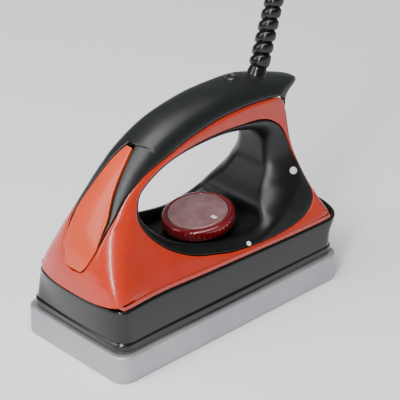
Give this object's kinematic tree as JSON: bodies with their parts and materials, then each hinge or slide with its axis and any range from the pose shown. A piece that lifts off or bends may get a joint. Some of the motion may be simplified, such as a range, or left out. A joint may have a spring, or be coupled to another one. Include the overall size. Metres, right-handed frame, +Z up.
{
  "type": "waxing iron",
  "caption": "Ski waxing iron: flat aluminium sole, glossy skirt, looped handle with soft grip, thermostat dial in the finger opening, and mains lead wound in a coil.",
  "frame": {"origin": "centre of the sole plate's flat underside", "axes": "+X towards the nose, +Y to the left of a person behind the iron, +Z up"},
  "size_m": [0.4003, 0.103, 0.2322],
  "materials": {
    "sole_aluminium": "satin machined",
    "element_steel": "heat-tinted tube",
    "terminal_brass": "bright",
    "bracket_steel": "zinc plated",
    "shield_steel": "bright sheet",
    "gasket_board": "mica board",
    "bimetal": "rolled",
    "contact_brass": "rolled",
    "ceramic_white": "unglazed",
    "screw_steel": "zinc plated",
    "skirt_black": "high gloss",
    "shell_orange": "gloss",
    "panel_orange": "gloss",
    "liner_black": "satin",
    "grip_soft_black": "soft touch",
    "dial_red": "tinted gloss",
    "dial_face": "gloss",
    "mark_white": "printed white",
    "lens_clear": "milky lens",
    "lamp_glass": "clear",
    "lead_brown": "sleeve",
    "lead_blue": "sleeve",
    "lead_green": "sleeve",
    "plug_cap_black": "gloss",
    "cord_rubber": "satin",
    "tie_black": "hook and loop strap",
    "plug_rubber": "satin",
    "pin_nickel": "nickel plated"
  },
  "bodies": {
    "iron": {"bimetal_strip": "bimetal", "clamp_screw_front": "screw_steel", "clamp_screw_left": "screw_steel", "clamp_screw_rear": "screw_steel", "clamp_screw_right": "screw_steel", "coil_tie": "tie_black", "contact_leaf_lower": "contact_brass", "contact_leaf_upper": "contact_brass", "cord_clamp": "liner_black", "cord_coil": "cord_rubber", "cord_lead": "cord_rubber", "cord_tail": "cord_rubber", "dial_collar": "liner_black", "earth_lead": "lead_green", "element_clamp_front": "bracket_steel", "element_clamp_rear": "bracket_steel", "element_terminal_left": "terminal_brass", "element_terminal_right": "terminal_brass", "grip_cover": "grip_soft_black", "grip_plug": "plug_cap_black", "grip_screw": "screw_steel", "heat_shield": "shield_steel", "heating_element": "element_steel", "index_mark": "mark_white", "lamp_lens": "lens_clear", "live_lead": "lead_brown", "main_shell": "shell_orange", "neon_lamp": "lamp_glass", "neutral_lead": "lead_blue", "nose_panel": "panel_orange", "opening_liner": "liner_black", "plug_body": "plug_rubber", "plug_pin_left": "pin_nickel", "plug_pin_right": "pin_nickel", "shield_post_1": "screw_steel", "shield_post_2": "screw_steel", "shield_post_3": "screw_steel", "shield_screw_1": "screw_steel", "shield_screw_2": "screw_steel", "shield_screw_3": "screw_steel", "skirt": "skirt_black", "sole_gasket": "gasket_board", "sole_plate": "sole_aluminium", "spindle_bush": "terminal_brass", "strain_relief": "cord_rubber", "terminal_block": "ceramic_white", "terminal_screw_earth": "terminal_brass", "terminal_screw_live": "terminal_brass", "terminal_screw_neutral": "terminal_brass", "thermal_fuse": "contact_brass", "thermostat_base": "ceramic_white", "thermostat_bridge": "bracket_steel", "thermostat_screw_left": "screw_steel", "thermostat_screw_right": "screw_steel"},
    "dial": {"dial_body": "dial_red", "dial_face": "dial_face", "dial_pointer": "mark_white", "thermostat_spindle": "screw_steel"},
    "adjuster": {"adjuster_pin": "ceramic_white"}
  },
  "joints": [
    {"name": "dial_turn", "type": "hinge", "parent": "iron", "child": "dial", "pos_m": [-0.01, 0, 0.0472], "axis": [-0.1392, 0, -0.9903], "range_deg": [0, 270]},
    {"name": "pin_travel", "type": "slide", "parent": "iron", "child": "adjuster", "axis": [-0.1392, 0, -0.9903], "range_m": [0, 0.0006]}
  ],
  "couplings": [
    {"joint": "pin_travel", "follows": "dial_turn", "m_per_rad": 0.00012731}
  ]
}
